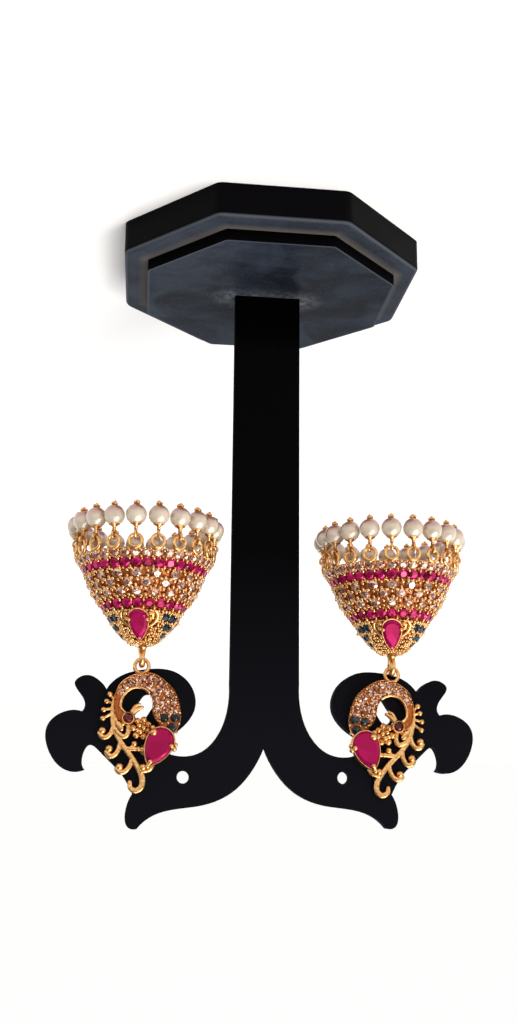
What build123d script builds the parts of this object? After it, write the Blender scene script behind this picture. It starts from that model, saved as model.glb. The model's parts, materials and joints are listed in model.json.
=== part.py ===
from build123d import *
import math
import os

# A pair of jhumka earrings hung on their display stand.
# Millimetres, +Z up, +X along the arms, the jewellery faces -Y.
# Origin: middle of the stand's underside.

# stand
base_width = 64.0          # lower octagon, across its flats
base_height = 7.4
step_width = 54.0          # upper octagon, across its flats
step_height = 2.5
corner_radius = 2.5
edge_radius = 1.2
board_thickness = 3.0
post_width = 14.5
foot_depth = 6.0           # how far the board's foot sits down in the base
foot_clearance = 0.1
hole_radius = 1.25         # plain drilled holes in the arms
top_hole = (16.5, 116)
post_hole = (24.1, 110.55)
slot_low = (24.0, 100.8)   # slanted slot behind the crescent, its two end centres
slot_high = (25.7, 103.5)
slot_radius = 1.5

# stud, drawn in place for the right-hand earring
board_gap = 0.1
scroll_thickness = 1.2
plate_thickness = 1.5
setting_thickness = 2.3
ring_radius = 1.45         # middle of the wire
ring_wire = 0.35
ring_centre = (25.5, 93.8)
ruby_centre = (22.0, 110.2)
ruby_size = (4.9, 7.9)     # width, length
ruby_lean = -20.0
ruby_depth = 1.7
ruby_seat = 1.2            # how deep the setting is hollowed for the stone
setting_wall = 0.45
head_rise = 0.4            # the head stands this much above the crescent
small_stone_depth = 0.95
small_stone_seat = 0.6
flower_centre = (24.8, 106.5)
flower_core = 1.3
petal_radius = 0.62
petal_circle = 1.35
eye_centre = (27.6, 104.4)
eye_radius = 0.85
sapphire_radius = 0.85
sapphire_places = [(18.9, 106.4), (18.4, 104.2), (20.5, 104.3)]
stone_gap = 0.05

# the left stud is the mirror image, turned a little on its post
left_turn = 6.7
left_turn_centre = (28.8, 105.9)
left_shift = (-0.1, 1.25)

# ear post and its nut
post_radius = 0.45
post_length = 7.0
post_sag = 0.3             # the post rests low in its wider hole
nut_radius = 2.4
nut_thickness = 2.2

# bell, drawn round its hanging point: the middle of the stud ring's lowest wire
loop_radius = 1.15         # hanging loop on the bell's stem
loop_wire = 0.4
stem_radii = (1.1, 0.65)
running_gap = 0.04
wall = 0.8
bell_rows = [              # outside of the bell: radius, height
    (0.9, -2.1), (2.4, -2.6), (4.4, -3.9), (5.6, -5.1), (6.9, -7.25), (8.2, -9.5),
    (9.5, -12.0), (10.6, -14.4), (11.6, -16.7), (12.9, -18.9), (14.0, -20.2),
]
rim_bead = 0.45
pear_count = 3
pear_place = (6.25, -6.2)   # radius, height of a pear setting's middle
pear_normal = 35.0         # its face looks this much above level
pear_size = (3.9, 7.0)
pear_depth = 1.1
pear_lift = 0.5            # the settings stand this much off the shell
pear_root = 0.9
pear_seat = 0.4
rim_count = 20
rim_ring_circle = 14.35
rim_ring_radius = 1.45
rim_ring_wire = 0.35
pin_loop_radius = 0.75
pin_wire = 0.22
pearl_radius = 2.1
pearl_drop = 27.15         # pearl centres below the hanging point
cap_radius = 0.75
cap_thickness = 0.2
tip_radius = 0.45
bell_turn = {"left": 10.6, "right": 8.0}

standing = (Align.CENTER, Align.CENTER, Align.MIN)


def front(y):
    """Upright drawing plane at depth y: drawn x is +X, drawn y is +Z, extrusion comes forward."""
    return Plane(origin=(0, y, 0), x_dir=(1, 0, 0), z_dir=(0, -1, 0))


def octagon(width):
    return RegularPolygon(width / 2, 8, major_radius=False, rotation=22.5)


def stand_base():
    lower = extrude(octagon(base_width), base_height)
    lower = fillet(lower.edges().filter_by(Axis.Z), corner_radius)
    lower = fillet(lower.edges().group_by(Axis.Z)[-1], edge_radius)
    upper = Pos(0, 0, base_height) * extrude(octagon(step_width), step_height)
    upper = fillet(upper.edges().filter_by(Axis.Z), corner_radius / 2)
    top = base_height + step_height
    socket = Box(post_width + 2 * foot_clearance, board_thickness + 2 * foot_clearance, foot_depth,
                 align=(Align.CENTER, Align.CENTER, Align.MAX))
    return lower + upper - Pos(0, 0, top) * socket


def stand_board():
    half_post = post_width / 2
    foot = base_height + step_height - foot_depth
    runs = [
        # underside of the arm's arch, in to the cleft above the round lobe
        [(half_post, 96.9), (8.45, 105.4), (10.5, 108.9), (13.2, 111.1), (18.7, 111.6), (22.5, 108.9)],
        # round lobe that backs the crescent
        [(22.5, 108.9), (17.2, 106.3), (14.3, 101.9), (15.5, 97.2), (19.3, 94.5), (24.7, 94.3), (30, 95.9),
         (32.5, 98.5)],
        # small lobe
        [(32.5, 98.5), (34.4, 96.4), (37, 95.7), (38.9, 97.1), (37.5, 99.7), (37.2, 103)],
        # end lobe
        [(37.2, 103), (41, 103.2), (43.9, 105.7), (43.6, 110.7), (40, 114.7), (36.3, 114.6)],
        # notch beside the end lobe and the slope up to the wing tip
        [(36.3, 114.6), (36.7, 111.2), (35.7, 109.7), (33, 111.4), (28.6, 115.9), (26.6, 119.4)],
        # wing tip
        [(26.6, 119.4), (27.8, 122.4), (27.2, 125.9), (25.5, 126.2)],
        # top edge, down to the notch in the middle
        [(25.5, 126.2), (20.5, 122.9), (12.5, 121.6), (6.3, 118.9), (3.3, 115.9), (0, 109.9)],
    ]
    edges = [Line((0, foot), (half_post, foot)), Line((half_post, foot), runs[0][0])]
    edges += [Spline(*run) for run in runs]
    edges.append(Line(runs[-1][-1], (0, foot)))
    half = make_face(edges)
    half -= Pos(*top_hole) * Circle(hole_radius)
    half -= Pos(*post_hole) * Circle(hole_radius)
    half -= stroke([slot_low, slot_high], [2 * slot_radius] * 2)
    arm = extrude(front(board_thickness / 2) * half, board_thickness)
    return arm + mirror(arm, about=Plane.YZ)


def stroke(points, widths):
    """A face that follows a curve through the points, with a round end and its width given at each."""
    path = Spline(*points) if len(points) > 2 else Line(*points)
    steps = 3 * (len(points) - 1)
    sides = ([], [])
    for step in range(steps + 1):
        share = step / steps
        place = share * (len(widths) - 1)
        low = min(int(place), len(widths) - 2)
        half = (widths[low] + (place - low) * (widths[low + 1] - widths[low])) / 2
        middle = path @ share
        along = path % share
        normal = Vector(-along.Y, along.X) * half
        sides[0].append(middle + normal)
        sides[1].append(middle - normal)
    nose = (path @ 1) + (path % 1) * (widths[-1] / 2)
    tail = (path @ 0) - (path % 0) * (widths[0] / 2)
    return make_face([
        Spline(*sides[0]),
        ThreePointArc(sides[0][-1], nose, sides[1][-1]),
        Spline(*reversed(sides[1])),
        ThreePointArc(sides[1][0], tail, sides[0][0]),
    ])


def pear(width, length):
    """Pear outline with its tip up, centred on its length."""
    half = width / 2
    rise = length - half
    sweep = [(half, 0), (0, rise), (-half, 0)]
    outline = make_face([
        TangentArc(sweep[0], sweep[1], tangent=(0, 1)),
        TangentArc(sweep[2], sweep[1], tangent=(0, 1)),
        ThreePointArc(sweep[0], (0, -half), sweep[2]),
    ])
    return Pos(0, half - length / 2) * outline


def pear_around(size, margin):
    """Pear outline with an even margin around a stone; the tip needs more than the round end."""
    return pear(size[0] + 2 * margin, size[1] + 2.6 * margin)


def pear_stone(width, length, depth):
    """Pear-cut stone: straight girdle under a bevelled crown."""
    girdle = extrude(pear(width, length), 0.6 * depth)
    crown = loft([Pos(0, 0, 0.6 * depth) * pear(width, length),
                  Pos(0, 0, depth) * pear(0.72 * width, 0.72 * length)])
    return girdle + crown


def round_stone(radius, depth):
    """Round stone: straight girdle under a bevelled crown."""
    girdle = Cylinder(radius, 0.55 * depth, align=standing)
    crown = Cone(radius, 0.6 * radius, 0.45 * depth, align=standing)
    return girdle + Pos(0, 0, 0.55 * depth) * crown


def scroll_faces():
    """Thin openwork: the main stem with its hook, the outer curls, the studs and the inner curls."""
    stem = stroke([(26.9, 116.8), (26.6, 118.2), (25.3, 118.6), (24.2, 117.3), (24.6, 115), (26.3, 112.5),
                   (28.3, 110.2), (30.0, 107.5), (30.9, 104.6), (31.0, 101.9), (30.2, 99.1)],
                  [0.7, 0.9, 1.0, 1.1, 1.1, 1.0, 1.1, 1.1, 1.1, 1.1, 1.2])
    outer_curls = [
        [(26.5, 112.2), (26.9, 114.2), (28.0, 115.4), (29.4, 115.1), (29.1, 113.8)],
        [(28.7, 109.5), (29.4, 111), (30.6, 111.9), (31.8, 111.5), (31.4, 110.3)],
        [(30.5, 106.8), (31.0, 107.8), (32.2, 108.2), (33.4, 107.6), (32.9, 106.5)],
    ]
    faces = [stem]
    for curl in outer_curls:
        faces.append(stroke(curl, [0.7, 0.75, 0.85, 0.9, 0.9]))
        faces.append(Pos(*curl[-1]) * Circle(0.62))
    for ball in [(32.8, 104.5), (32.7, 102.6), (32.3, 101), (31.7, 99.5)]:
        faces.append(stroke([(30.6, (ball[1] + 102.1) / 2), ball], [0.6, 0.6]))
        faces.append(Pos(*ball) * Circle(0.55))
    inner_curls = [
        [(27.3, 111.1), (26.6, 111.2), (25.2, 110.7), (23.6, 110.5)],
        [(26.7, 111.3), (26.9, 110.4), (26.3, 109.3)],
        [(29.3, 108.2), (28.2, 108.2), (27.6, 107.3), (27.5, 105.5)],
        [(28.6, 105.5), (29.8, 105.8), (30.3, 104.3), (29.9, 102.5)],
    ]
    faces += [stroke(curl, [0.8] * len(curl)) for curl in inner_curls]
    faces.append(Pos(26.3, 109.3) * Circle(0.6))
    faces.append(stroke([(22.6, 114.2), (23.4, 114.9), (24.6, 115.1)], [0.9, 1.0, 0.9]))
    return faces


def crescent_face():
    """The bird's body: a paved crescent that narrows into the neck and ends at the head."""
    outer = Spline((20.4, 107.9), (18.2, 106.9), (17.2, 103.6), (18.5, 98.9), (22.6, 95.4), (26.5, 95.3),
                   (29.7, 97.8), (30.7, 101.3), (30.2, 104.3), (28.0, 105.8))
    inner = Spline((27.9, 103), (28.9, 102.1), (28.6, 100.4), (27.1, 98.8), (25.2, 98.6), (23.3, 100.1),
                   (22.9, 103.5), (21.9, 105.4), (20.4, 107.9))
    return make_face([outer, Line(outer @ 1, inner @ 0), inner])


def solid_plate(faces, thickness):
    """The faces joined and raised forward from the stud's back."""
    sketch = faces[0]
    for face in faces[1:]:
        sketch += face
    return extrude(front(-board_thickness / 2 - board_gap) * sketch, thickness)


def at_depth(point, thickness):
    """A plane that faces forward, on the front of a plate of that thickness."""
    depth = -board_thickness / 2 - board_gap - thickness
    return Plane(origin=(point[0], depth, point[1]), x_dir=(1, 0, 0), z_dir=(0, -1, 0))


def ruby_plane():
    return at_depth(ruby_centre, setting_thickness) * Rot(0, 0, ruby_lean)


def ring_depth():
    """Depth of the hanging ring, in the middle of the crescent's plate."""
    return -board_thickness / 2 - board_gap - plate_thickness / 2


def seat(outline, depth):
    """Cutter for a stone's seat, open to the front."""
    return Pos(0, 0, -depth) * extrude(outline, 2 * depth)


def small_stone(place, thickness, radius):
    return at_depth(place, thickness) * Pos(0, 0, stone_gap - small_stone_seat) * round_stone(
        radius, small_stone_depth)


def stud_frame():
    scrolls = solid_plate(scroll_faces(), scroll_thickness)
    beak = stroke([(27.0, 103.9), (26.2, 102.8), (24.9, 102)], [1.2, 1.1, 0.4])
    back_bar = stroke([(24.3, 105.5), (26.6, 104.5)], [1.0, 1.0])
    flower = [Pos(*flower_centre) * Circle(flower_core)]
    for petal in range(6):
        out = Rot(0, 0, 60 * petal + 20) * Pos(petal_circle, 0)
        flower.append(Pos(*flower_centre) * out * Circle(petal_radius))
    plate = solid_plate([crescent_face(), beak, back_bar] + flower, plate_thickness)
    head_top = plate_thickness + head_rise
    head = solid_plate([Pos(*eye_centre) * Circle(eye_radius + setting_wall)], head_top)
    collar = Pos(*ruby_centre) * Rot(0, 0, ruby_lean) * pear_around(ruby_size, setting_wall)
    frame = scrolls + plate + head + solid_plate([collar], setting_thickness)
    frame -= ruby_plane() * seat(pear_around(ruby_size, stone_gap), ruby_seat)
    frame -= at_depth(eye_centre, head_top) * seat(Circle(eye_radius + stone_gap), small_stone_seat)
    for place in sapphire_places:
        hole = seat(Circle(sapphire_radius + stone_gap), small_stone_seat)
        frame -= at_depth(place, plate_thickness) * hole
    ring = Plane(origin=(ring_centre[0], ring_depth(), ring_centre[1]), x_dir=(1, 0, 0),
                 z_dir=(0, -1, 0)) * Torus(ring_radius, ring_wire)
    return frame + ring


def stud_ruby():
    return ruby_plane() * Pos(0, 0, stone_gap - ruby_seat) * pear_stone(*ruby_size, ruby_depth)


def stud_eye():
    return small_stone(eye_centre, plate_thickness + head_rise, eye_radius)


def stud_sapphires():
    return [small_stone(place, plate_thickness, sapphire_radius) for place in sapphire_places]


def ear_post():
    """Post through the arm's hidden hole, with its round nut against the board's back."""
    start = Plane(origin=(post_hole[0], -board_thickness / 2 - stone_gap, post_hole[1] - post_sag),
                  x_dir=(1, 0, 0), z_dir=(0, 1, 0))
    post = Cylinder(post_radius, post_length, align=standing)
    nut = Cylinder(nut_radius, nut_thickness, align=standing)
    return start * (post + Pos(0, 0, board_thickness + board_gap + stone_gap) * nut)


def to_left(shape):
    """A right-hand stud piece mirrored to the left, turned on its post."""
    centre = Pos(left_turn_centre[0], 0, left_turn_centre[1])
    turned = centre * Rot(0, -left_turn, 0) * centre.inverse() * shape
    return mirror(Pos(left_shift[0], 0, left_shift[1]) * turned, about=Plane.YZ)


def bell_shell():
    """The hollow bell with its closed crown."""
    inner = []
    for row in range(2, len(bell_rows)):
        below = bell_rows[min(row + 1, len(bell_rows) - 1)]
        above = bell_rows[row - 1]
        run = math.hypot(below[0] - above[0], below[1] - above[1])
        normal = ((above[1] - below[1]) / run, (below[0] - above[0]) / run)
        inner.append((bell_rows[row][0] - wall * normal[0], bell_rows[row][1] - wall * normal[1]))
    crown = bell_rows[0]
    ceiling = (0, bell_rows[1][1] - wall)
    section = make_face([
        Line(ceiling, (0, crown[1])),
        Line((0, crown[1]), crown),
        Spline(*bell_rows),
        Line(bell_rows[-1], inner[-1]),
        Spline(*reversed([ceiling] + inner)),
    ])
    return revolve(Plane.XZ * section, Axis.Z)


def pear_planes():
    planes = []
    lift = math.radians(pear_normal)
    for number in range(pear_count):
        angle = 2 * math.pi * number / pear_count
        out = (math.sin(angle), -math.cos(angle))
        planes.append(Plane(
            origin=(pear_place[0] * out[0], pear_place[0] * out[1], pear_place[1]),
            x_dir=(math.cos(angle), math.sin(angle), 0),
            z_dir=(math.cos(lift) * out[0], math.cos(lift) * out[1], math.sin(lift))))
    return planes


def around(number):
    return Rot(0, 0, 360 * number / rim_count)


def rim_ring_level():
    """Height of the rim rings' centres: their tops are soldered into the rim bead."""
    return bell_rows[-1][1] + 0.1 - rim_ring_radius


def rim_rings():
    ring = Plane(origin=(0, -rim_ring_circle, rim_ring_level()), x_dir=(1, 0, 0), z_dir=(0, -1, 0)) * Torus(
        rim_ring_radius, rim_ring_wire)
    return [around(number) * ring for number in range(rim_count)]


def bell_dome(turn):
    shell = bell_shell()
    for plane in pear_planes():
        collar = extrude(pear_around(pear_size, setting_wall), pear_root + pear_lift)
        shell += plane * Pos(0, 0, -pear_root) * collar
        shell -= plane * Pos(0, 0, pear_lift) * seat(pear_around(pear_size, stone_gap), pear_seat)
    shell += Pos(0, 0, bell_rows[-1][1]) * Torus(bell_rows[-1][0], rim_bead)
    for ring in rim_rings():
        shell += ring
    shell = Rot(0, 0, turn) * shell
    level = ring_wire + loop_wire + running_gap - loop_radius
    loop = Plane(origin=(0, 0, level), x_dir=(0, 1, 0), z_dir=(1, 0, 0)) * Torus(loop_radius, loop_wire)
    foot = bell_rows[1][1]
    stem = Pos(0, 0, foot) * Cone(*stem_radii, level - loop_radius - foot, align=standing)
    return shell + stem + loop


def bell_rubies(turn):
    base = pear_lift - pear_seat + stone_gap
    stones = [plane * Pos(0, 0, base) * pear_stone(*pear_size, pear_depth) for plane in pear_planes()]
    return [Rot(0, 0, turn) * stone for stone in stones]


def pearl_pins(turn):
    """One wire pin a pearl: a loop on the rim ring, a cap, a stem and a beaded tip."""
    loop_top = rim_ring_level() - rim_ring_radius + rim_ring_wire + pin_wire + running_gap
    loop_centre = loop_top - pin_loop_radius
    out = -rim_ring_circle
    loop = Plane(origin=(0, out, loop_centre), x_dir=(0, 1, 0), z_dir=(1, 0, 0)) * Torus(
        pin_loop_radius, pin_wire)
    tip = -pearl_drop - pearl_radius - tip_radius
    stem = Pos(0, out, tip) * Cylinder(pin_wire, loop_centre - pin_loop_radius - tip, align=standing)
    cap_level = -pearl_drop + pearl_radius + stone_gap
    cap = Pos(0, out, cap_level) * Cylinder(cap_radius, cap_thickness, align=standing)
    pin = loop + stem + cap + Pos(0, out, tip) * Sphere(tip_radius)
    return [Rot(0, 0, turn) * around(number) * pin for number in range(rim_count)]


def pearl(number, turn):
    ball = Sphere(pearl_radius) - Cylinder(pin_wire + stone_gap, 3 * pearl_radius)
    return Rot(0, 0, turn) * around(number) * Pos(0, -rim_ring_circle, -pearl_drop) * ball


def hanging_point(side):
    """Middle of the stud ring's lowest wire."""
    depth = ring_depth()
    point = Vector(ring_centre[0], depth, ring_centre[1])
    if side == "left":
        turn = math.radians(left_turn)
        over = ring_centre[0] - left_turn_centre[0]
        up = ring_centre[1] - left_turn_centre[1]
        point = Vector(
            -(left_turn_centre[0] + over * math.cos(turn) - up * math.sin(turn) + left_shift[0]), depth,
            left_turn_centre[1] + over * math.sin(turn) + up * math.cos(turn) + left_shift[1])
    return point - Vector(0, 0, ring_radius)


def save(name, solids):
    """Write one node, from one solid or a list of them."""
    solids = solids if isinstance(solids, list) else [solids]
    bodies = [body for shape in solids for body in shape.solids()]
    export_step(bodies[0] if len(bodies) == 1 else Compound(bodies), f"parts/{name}.step")
    print(name, len(bodies))


def write_earring(side):
    def placed(shape):
        return shape if side == "right" else to_left(shape)

    save(f"{side}_stud_frame", placed(stud_frame()))
    save(f"{side}_stud_ruby", placed(stud_ruby()))
    save(f"{side}_stud_eye", placed(stud_eye()))
    save(f"{side}_stud_sapphires", [placed(stone) for stone in stud_sapphires()])
    save(f"{side}_ear_post", placed(ear_post()))
    hang = Pos(hanging_point(side))
    turn = bell_turn[side]
    save(f"{side}_bell_dome", hang * bell_dome(turn))
    save(f"{side}_bell_rubies", [hang * stone for stone in bell_rubies(turn)])
    save(f"{side}_pearl_pins", [hang * pin for pin in pearl_pins(turn)])
    for number in range(rim_count):
        save(f"{side}_pearl_{number + 1:02d}", hang * pearl(number, turn))
    print(side, "hangs at", hanging_point(side))


os.makedirs("parts", exist_ok=True)
save("stand_base", stand_base())
save("stand_board", stand_board())
write_earring("left")
write_earring("right")
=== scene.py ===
import json
import math
import random
from functools import partial

import bmesh
import bpy
import numpy as np
from mathutils import Matrix, Vector


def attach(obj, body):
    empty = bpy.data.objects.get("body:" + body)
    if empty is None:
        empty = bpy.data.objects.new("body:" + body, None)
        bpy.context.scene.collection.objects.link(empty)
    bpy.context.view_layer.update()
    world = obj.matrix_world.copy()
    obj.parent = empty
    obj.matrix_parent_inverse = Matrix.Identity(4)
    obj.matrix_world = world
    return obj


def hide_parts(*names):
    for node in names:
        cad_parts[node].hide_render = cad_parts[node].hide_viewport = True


# A pair of jhumka earrings on their black display stand.
# Millimetres until a mesh or a lamp is made, +Z up, the jewellery faces -Y.

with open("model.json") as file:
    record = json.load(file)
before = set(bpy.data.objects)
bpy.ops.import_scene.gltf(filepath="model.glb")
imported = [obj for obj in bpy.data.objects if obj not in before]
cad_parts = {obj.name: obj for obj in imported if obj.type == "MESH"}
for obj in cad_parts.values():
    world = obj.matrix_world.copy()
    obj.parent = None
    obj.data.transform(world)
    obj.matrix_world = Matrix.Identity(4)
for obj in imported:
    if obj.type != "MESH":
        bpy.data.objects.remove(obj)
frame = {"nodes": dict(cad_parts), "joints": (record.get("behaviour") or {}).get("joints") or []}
bpy.context.view_layer.update()
mm = 0.001
chance = random.Random(11)  # small hand-made unevenness, the same each run
alongX, alongY, alongZ = (1, 0, 0), (0, 1, 0), (0, 0, 1)
nearAxis = 0.01  # a turned shape closes just short of its axis
roundEnd = (80, 52, 24)  # a wire's round end, in degrees back from its tip
grooveReach = 0.5  # how far round a wire a groove spreads, in radians


def newBag():
    return {"points": [], "faces": [], "count": 0}


def addTo(bag, points, faces, place=None):
    points = np.asarray(points, float)
    if place is not None:
        points = points @ place[:3, :3].T + place[:3, 3]
    # a closed shell with a negative volume has its faces the wrong way round
    fans = [(face[0], *pair) for face in faces for pair in zip(face[1:], face[2:])]
    if np.linalg.det(points[np.array(fans)] - points[0]).sum() < 0:
        faces = [tuple(reversed(face)) for face in faces]
    start = bag["count"]
    bag["points"].append(points)
    bag["faces"].extend([tuple(start + corner for corner in face) for face in faces])
    bag["count"] += len(points)


def unit(vector):
    return np.asarray(vector, float) / np.linalg.norm(vector)


def placeAt(origin, across, up):
    # Local x, y and z run across, up and out
    across, up = unit(across), unit(up)
    place = np.eye(4)
    place[:3] = np.stack([across, up, np.cross(across, up), origin], axis=1)
    return place


def evenAngles(count):
    return np.arange(count) * 2 * math.pi / count


def ballShape(level):
    sphere = bmesh.new()
    bmesh.ops.create_icosphere(sphere, subdivisions=level, radius=1.0)
    points = [tuple(vertex.co) for vertex in sphere.verts]
    faces = [tuple(vertex.index for vertex in face.verts) for face in sphere.faces]
    sphere.free()
    return np.array(points), faces


smallBall, fineBall = ballShape(2), ballShape(3)


def addBall(bag, centre, radius, squash=(1, 1, 1), place=None, fine=False):
    points, faces = fineBall if fine else smallBall
    addTo(bag, points * radius * np.asarray(squash) + np.asarray(centre, float), faces, place)


def addPair(bag, place, radius, aside, height, squash=(1, 1, 1)):
    # Two balls, one above and one below a spot
    for side in (-1, 1):
        addBall(bag, (0, side * aside, height), radius, squash, place)


def smoothRows(rows, steps=5):
    # A rounded curve through every row; the last columns, such as a width, are carried along
    rows = np.asarray(rows, float)
    if len(rows) == 2:
        share = np.linspace(0, 1, steps + 1)[:, None]
        return rows[0] * (1 - share) + rows[1] * share
    padded = np.vstack([2 * rows[0] - rows[1], rows, 2 * rows[-1] - rows[-2]])
    result = []
    for index in range(len(rows) - 1):
        a, b, c, d = padded[index:index + 4]
        for step in range(steps):
            t = step / steps
            result.append(0.5 * (2 * b + (c - a) * t + (2 * a - 5 * b + 4 * c - d) * t ** 2
                                 + (3 * b - a - 3 * c + d) * t ** 3))
    result.append(rows[-1])
    return np.array(result)


def addRings(bag, rings, wrapped=False, place=None):
    # Rings with the same number of points, joined in order, then capped or wrapped round to the first
    count = len(rings[0])
    faces = []
    for row in range(len(rings) if wrapped else len(rings) - 1):
        low, high = row * count, ((row + 1) % len(rings)) * count
        for side in range(count):
            after = (side + 1) % count
            faces.append((low + side, low + after, high + after, high + side))
    if not wrapped:
        faces.append(tuple(reversed(range(count))))
        faces.append(tuple((len(rings) - 1) * count + side for side in range(count)))
    addTo(bag, np.concatenate(rings), faces, place)


def addWire(bag, rows, outward=(0, -1, 0), sides=12, steps=5, groove=0.0, depth=1.0, place=None):
    # Cast wire along rows of x, y, z, width, with round ends; outward is the way its front faces
    path = smoothRows(rows, steps)
    centres, halves = path[:, :3], path[:, 3] / 2
    along = np.gradient(centres, axis=0)
    along /= np.linalg.norm(along, axis=1)[:, None]
    outward = np.asarray(outward, float)
    if outward.ndim == 1:
        outward = np.tile(outward, (len(centres), 1))
    side = np.cross(along, outward)
    side /= np.linalg.norm(side, axis=1)[:, None]
    outward = np.cross(side, along)
    angles = evenAngles(sides)
    notch = 1 - groove * np.exp(-((np.abs(angles - math.pi / 2)) / grooveReach) ** 2)

    def ring(at, lean=0.0, way=1):
        spread = halves[at] * math.cos(lean) * notch
        return (centres[at] + along[at] * way * halves[at] * math.sin(lean)
                + np.outer(spread * np.cos(angles), side[at])
                + np.outer(spread * np.sin(angles) * depth, outward[at]))

    leans = [math.radians(lean) for lean in roundEnd]
    addRings(bag, [ring(0, lean, -1) for lean in leans] + [ring(at) for at in range(len(centres))]
             + [ring(-1, lean) for lean in reversed(leans)], place=place)


def addRing(bag, centre, axis, radius, wire, sides=28, section=10):
    # A closed ring of round wire
    axis = unit(axis)
    first = unit(np.cross(axis, (0.3, 0.5, 0.81)))  # across the axis: no ring's axis lies that way
    second = np.cross(axis, first)
    angles = evenAngles(section)
    rings = []
    for turn in evenAngles(sides):
        out = math.cos(turn) * first + math.sin(turn) * second
        middle = np.asarray(centre, float) + radius * out
        rings.append(middle + wire * (np.outer(np.cos(angles), out) + np.outer(np.sin(angles), axis)))
    addRings(bag, rings, wrapped=True)


def addTurned(bag, rows, sides, place=None, knurl=0.0, knurlFrom=0.0):
    # A turned shape from rows of radius, height; a knurl sinks every other side where it is wider than that
    angles, odd = evenAngles(sides), np.arange(sides) % 2
    rings = []
    for radius, height in rows:
        reach = radius * (1 - knurl * odd * (radius > knurlFrom))
        rings.append(np.stack([reach * np.cos(angles), reach * np.sin(angles), np.full(sides, float(height))],
                              axis=1))
    addRings(bag, rings, place=place)


def addObject(name, data):
    thing = bpy.data.objects.new(name, data)
    bpy.context.scene.collection.objects.link(thing)
    return thing


def makePiece(side, body, name, bag, material, slotName, sharp=40.0, replaced=(), place=None, recess=None,
              isRecess=None):
    # One named piece in metres that moves with a body; sharp is None for flat facets
    name, replaced = f"{side}_{name}", [f"{side}_{node}" for node in replaced]
    mesh = bpy.data.meshes.new(name)
    mesh.from_pydata((np.concatenate(bag["points"]) * mm).tolist(), [], bag["faces"])
    if sharp is None:
        mesh.shade_flat()
    else:
        mesh.shade_smooth()
        mesh.set_sharp_from_angle(angle=math.radians(sharp))
    mesh.materials.append(material)
    if recess:
        mesh.materials.append(recess)
        for face in mesh.polygons:
            face.material_index = int(isRecess(face))
    piece = addObject(name, mesh)
    if place is not None:
        piece.matrix_world = place
    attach(piece, body)
    if replaced:
        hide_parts(*replaced)


def hexColour(code):
    # sRGB hex to the linear values that shaders take
    values = [int(code[start:start + 2], 16) / 255 for start in (0, 2, 4)]
    return [value / 12.92 if value <= 0.04045 else ((value + 0.055) / 1.055) ** 2.4
            for value in values] + [1.0]


def perMm(size):
    # Texture scale whose features are that many millimetres across
    return 1 / (size * mm)


def ends(side, values):
    # The two inputs at the From or the To side of a range
    return {f"{side} Min": values[0], f"{side} Max": values[1]}


def liveSocket(sockets, name=None):
    # The first socket in use, or the one in use with that name
    return next(socket for socket in sockets if socket.enabled and name in (None, socket.name))


def addNode(tree, kind, inputs=None, to=None, stops=(), **settings):
    # One node with its settings, what feeds it and what it feeds; a node stands for its first output in use
    node = tree.nodes.new("ShaderNode" + kind)
    for name, value in settings.items():
        setattr(node, name, value)
    if stops:
        while len(node.color_ramp.elements) < len(stops):
            node.color_ramp.elements.new(1.0)
        for element, (position, code) in zip(node.color_ramp.elements, stops):
            element.position, element.color = position, hexColour(code)
    for name, value in (inputs or {}).items():
        socket = node.inputs[name] if isinstance(name, int) else liveSocket(node.inputs, name)
        if isinstance(value, str):
            value = hexColour(value)
        if isinstance(value, bpy.types.Node):
            value = liveSocket(value.outputs)
        if isinstance(value, bpy.types.NodeSocket):
            tree.links.new(value, socket)
        else:
            socket.default_value = value
    if to is not None:
        tree.links.new(liveSocket(node.outputs), to)
    return node


def startMaterial(name, shaderValues):
    material = bpy.data.materials.new(name)
    material.use_nodes = True
    tree = material.node_tree
    shader = tree.nodes["Principled BSDF"].inputs
    for socket, value in shaderValues.items():
        shader[socket].default_value = value
    add = partial(addNode, tree)
    return material, add, shader, add("TexCoord").outputs["Object"]


def addRelief(add, shader, gloss, relief, values):
    # A gloss that wanders with one pattern and a fine relief that follows another
    add("MapRange", {"Value": gloss, **ends("To", values["rough"])}, shader["Roughness"])
    add("Bump", {"Height": relief, "Distance": values["bump"] * mm}, shader["Normal"])


# Sizes in mm; tones by noise level; under is the range of the normal's Z over which a painted shade grows on
# what faces down, and the gap values set a painted shade in the gaps between beads
gold = {"metallic": 1.0, "skin": 0.45, "pits": 0.09, "bump": 0.014, "rough": (0.17, 0.34),
        "tones": [(0.3, "cc8a4c"), (0.5, "e2b070"), (0.72, "f6daa4")],
        "gap": 0.35, "gapShadeRange": (0.08, 0.6), "gapShadeTone": "b05a26",
        "under": (0.0, -1.2), "undersideShadeTone": "b0602a"}


def platedGold(name, values):
    # Cast brass with a warm gold flash: bright but not a mirror, its cast skin just breaking the highlights,
    # and a painted coppery shade in the gaps between beads and on what faces down
    material, add, shader, place = startMaterial(name, {"Metallic": values["metallic"]})
    skin = add("TexNoise", {"Vector": place, "Scale": perMm(values["skin"]), "Detail": 3.0})
    bright = add("ValToRGB", {"Fac": skin}, stops=values["tones"])
    # painted shade: the colour turns coppery and darker where the surface faces down
    facing = add("SeparateXYZ", {"Vector": add("TexCoord").outputs["Normal"]}).outputs["Z"]
    under = add("MapRange", {"Value": facing, **ends("From", values["under"])})
    toneWithUndersideShade = add("Mix", {"Factor": under, "A": bright, "B": values["undersideShadeTone"]},
                     data_type="RGBA")
    # painted shade: ambient occlusion darkens the gaps between beads to a copper tone
    gap = add("AmbientOcclusion", {"Distance": values["gap"] * mm}, samples=4).outputs["AO"]
    reached = add("MapRange", {"Value": gap, **ends("From", values["gapShadeRange"])})
    add("Mix", {"Factor": reached, "A": values["gapShadeTone"], "B": toneWithUndersideShade},
            shader["Base Color"], data_type="RGBA")
    pits = add("TexNoise", {"Vector": place, "Scale": perMm(values["pits"]), "Detail": 2.0})
    addRelief(add, shader, skin, pits, values)
    return material


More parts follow.
